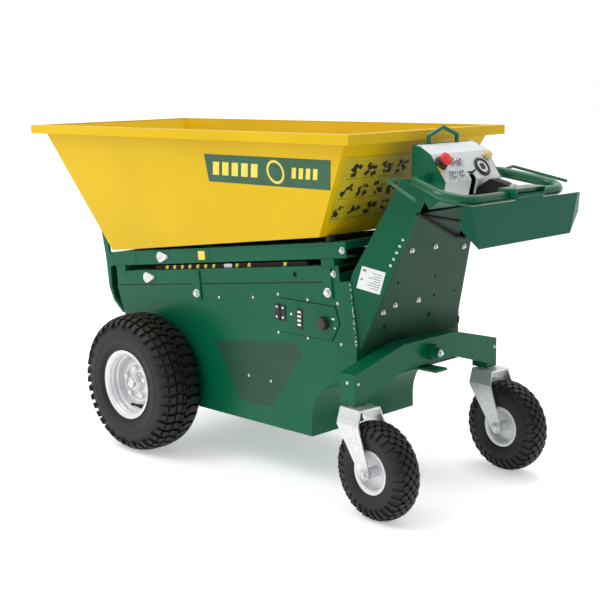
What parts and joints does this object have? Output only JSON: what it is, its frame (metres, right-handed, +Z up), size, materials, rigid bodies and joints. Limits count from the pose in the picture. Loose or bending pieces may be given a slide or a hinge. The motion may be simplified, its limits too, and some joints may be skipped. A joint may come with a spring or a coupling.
{
  "type": "power wheelbarrow",
  "caption": "Walk-behind powered wheelbarrow: a tipping tub on a scissor lift over a sheet-metal body, driven wheels in front, a rocking castor beam and a leaning control tower behind.",
  "frame": {"origin": "on the ground, midway along the machine's length and width", "axes": "+X towards the operator's end, +Y towards the operator's right, +Z up"},
  "size_m": [1.958, 0.864, 1.1455],
  "materials": {
    "tub_yellow": "gloss powder coat",
    "frame_green": "semi-gloss powder coat",
    "frame_dark": "satin black paint",
    "zinc": "galvanised",
    "rim_silver": "silver paint",
    "panel_silver": "satin",
    "tyre_black": "matt",
    "plastic_black": "fine grain",
    "plastic_white": "satin",
    "stop_red": "gloss",
    "stop_yellow": "satin",
    "lamp_amber": "translucent",
    "button_steel": "polished",
    "battery_case": "fine grain",
    "motor_iron": "painted",
    "alloy": "as cast"
  },
  "bodies": {
    "chassis": {"battery_pack": "battery_case", "body_wrap": "frame_green", "button_bezels": "button_steel", "charge_gauge": "plastic_black", "console_brace": "frame_dark", "console_housing": "frame_green", "console_panel": "panel_silver", "door_hinge": "plastic_black", "estop_collar": "stop_yellow", "frame_bolts": "zinc", "gear_motor_left": "motor_iron", "gear_motor_right": "motor_iron", "handlebar": "frame_green", "hydraulic_unit": "alloy", "indicator_lamp": "lamp_amber", "lifting_loop": "frame_green", "lower_pivot_pins": "zinc", "lower_rail_frame": "frame_green", "motor_controller": "alloy", "panel_screws": "zinc", "pivot_pin": "zinc", "rating_plate": "plastic_white", "side_panel_left": "frame_green", "side_panel_right": "frame_green", "stop_bracket": "frame_green", "tow_plate": "frame_green", "tower_rear_plate": "frame_green", "tower_sides": "frame_green", "vent_screens": "frame_dark"},
    "tub": {"tub_shell": "tub_yellow", "tub_rim": "tub_yellow"},
    "lift_frame": {"upper_rail_frame": "frame_green", "upper_pivot_pins": "zinc", "tip_brackets": "frame_green", "tub_rests": "plastic_black"},
    "outer_arms": {"scissor_outer_arms": "frame_green"},
    "inner_arms": {"scissor_inner_arms": "frame_green"},
    "door": {"service_door": "frame_green", "door_hinge_leaf": "plastic_black", "charge_indicator": "plastic_black"},
    "door_latch": {"door_knob": "plastic_black"},
    "emergency_stop": {"estop_button": "stop_red"},
    "button_1": {"push_button_1": "button_steel"},
    "button_2": {"push_button_2": "button_steel"},
    "button_3": {"push_button_3": "button_steel"},
    "button_4": {"push_button_4": "button_steel"},
    "lever": {"speed_lever": "plastic_black"},
    "operator_plate": {"stop_plate": "frame_green"},
    "rear_beam": {"axle_beam": "frame_green"},
    "castor_left": {"castor_fork_left": "zinc"},
    "castor_right": {"castor_fork_right": "zinc"},
    "castor_wheel_left": {"castor_rim_left": "rim_silver", "castor_tyre_left": "tyre_black"},
    "castor_wheel_right": {"castor_rim_right": "rim_silver", "castor_tyre_right": "tyre_black"},
    "drive_wheel_left": {"drive_rim_left": "rim_silver", "drive_tyre_left": "tyre_black"},
    "drive_wheel_right": {"drive_rim_right": "rim_silver", "drive_tyre_right": "tyre_black"}
  },
  "joints": [
    {"name": "lift", "type": "hinge", "parent": "chassis", "child": "outer_arms", "pos_m": [-0.471, 0, 0.594], "axis": [0, -1, 0], "range_deg": [0, 39]},
    {"name": "scissor_cross", "type": "hinge", "parent": "outer_arms", "child": "inner_arms", "pos_m": [-0.10042, 0, 0.67808], "axis": [0, -1, 0], "range_deg": [-78, 0]},
    {"name": "lift_level", "type": "hinge", "parent": "inner_arms", "child": "lift_frame", "pos_m": [-0.3904, 0, 0.67496], "axis": [0, -1, 0], "range_deg": [0, 39]},
    {"name": "tub_tip", "type": "hinge", "parent": "lift_frame", "child": "tub", "pos_m": [-0.741, 0, 0.747], "axis": [0, -1, 0], "range_deg": [0, 85]},
    {"name": "drive_wheel_left_spin", "type": "hinge", "parent": "chassis", "child": "drive_wheel_left", "pos_m": [-0.398, -0.347, 0.2425], "axis": [0, 1, 0], "continuous": true},
    {"name": "drive_wheel_right_spin", "type": "hinge", "parent": "chassis", "child": "drive_wheel_right", "pos_m": [-0.398, 0.347, 0.2425], "axis": [0, 1, 0], "continuous": true},
    {"name": "axle_rock", "type": "hinge", "parent": "chassis", "child": "rear_beam", "pos_m": [0.592, 0, 0.442], "axis": [1, 0, 0], "range_deg": [-6, 6]},
    {"name": "castor_left_swivel", "type": "hinge", "parent": "rear_beam", "child": "castor_left", "pos_m": [0.596, -0.323, 0.334], "axis": [0, 0, 1], "continuous": true},
    {"name": "castor_left_roll", "type": "hinge", "parent": "castor_left", "child": "castor_wheel_left", "pos_m": [0.69462, -0.33163, 0.15], "axis": [0.0872, 0.9962, 0], "continuous": true},
    {"name": "castor_right_swivel", "type": "hinge", "parent": "rear_beam", "child": "castor_right", "pos_m": [0.596, 0.323, 0.334], "axis": [0, 0, 1], "continuous": true},
    {"name": "castor_right_roll", "type": "hinge", "parent": "castor_right", "child": "castor_wheel_right", "pos_m": [0.69462, 0.31437, 0.15], "axis": [0.0872, 0.9962, 0], "continuous": true},
    {"name": "door_swing", "type": "hinge", "parent": "chassis", "child": "door", "pos_m": [0.2105, -0.2565, 0.553], "axis": [0, 0, -1], "range_deg": [0, 100]},
    {"name": "latch_turn", "type": "hinge", "parent": "door", "child": "door_latch", "pos_m": [0.407, -0.2533, 0.543], "axis": [0, 1, 0], "range_deg": [0, 90]},
    {"name": "emergency_stop_press", "type": "slide", "parent": "chassis", "child": "emergency_stop", "axis": [-0.8173, 0, -0.5763], "range_m": [0, 0.004], "stiffness_N_per_m": 1500, "springref_m": -0.001},
    {"name": "button_1_press", "type": "slide", "parent": "chassis", "child": "button_1", "axis": [-0.8173, 0, -0.5763], "range_m": [0, 0.003], "stiffness_N_per_m": 500, "springref_m": -0.001},
    {"name": "button_2_press", "type": "slide", "parent": "chassis", "child": "button_2", "axis": [-0.8173, 0, -0.5763], "range_m": [0, 0.003], "stiffness_N_per_m": 500, "springref_m": -0.001},
    {"name": "button_3_press", "type": "slide", "parent": "chassis", "child": "button_3", "axis": [-0.8173, 0, -0.5763], "range_m": [0, 0.003], "stiffness_N_per_m": 500, "springref_m": -0.001},
    {"name": "button_4_press", "type": "slide", "parent": "chassis", "child": "button_4", "axis": [-0.8173, 0, -0.5763], "range_m": [0, 0.003], "stiffness_N_per_m": 500, "springref_m": -0.001},
    {"name": "lever_tilt", "type": "hinge", "parent": "chassis", "child": "lever", "pos_m": [0.77037, 0.002, 1.00387], "axis": [0, 1, 0], "range_deg": [-15, 15]},
    {"name": "operator_plate_press", "type": "hinge", "parent": "chassis", "child": "operator_plate", "pos_m": [0.972, 0.015, 0.952], "axis": [0, 1, 0], "range_deg": [0, 8], "stiffness_Nm_per_rad": 8, "springref_deg": -8.59}
  ],
  "couplings": [
    {"joint": "scissor_cross", "follows": "lift", "ratio": -2},
    {"joint": "lift_level", "follows": "lift", "ratio": 1}
  ]
}
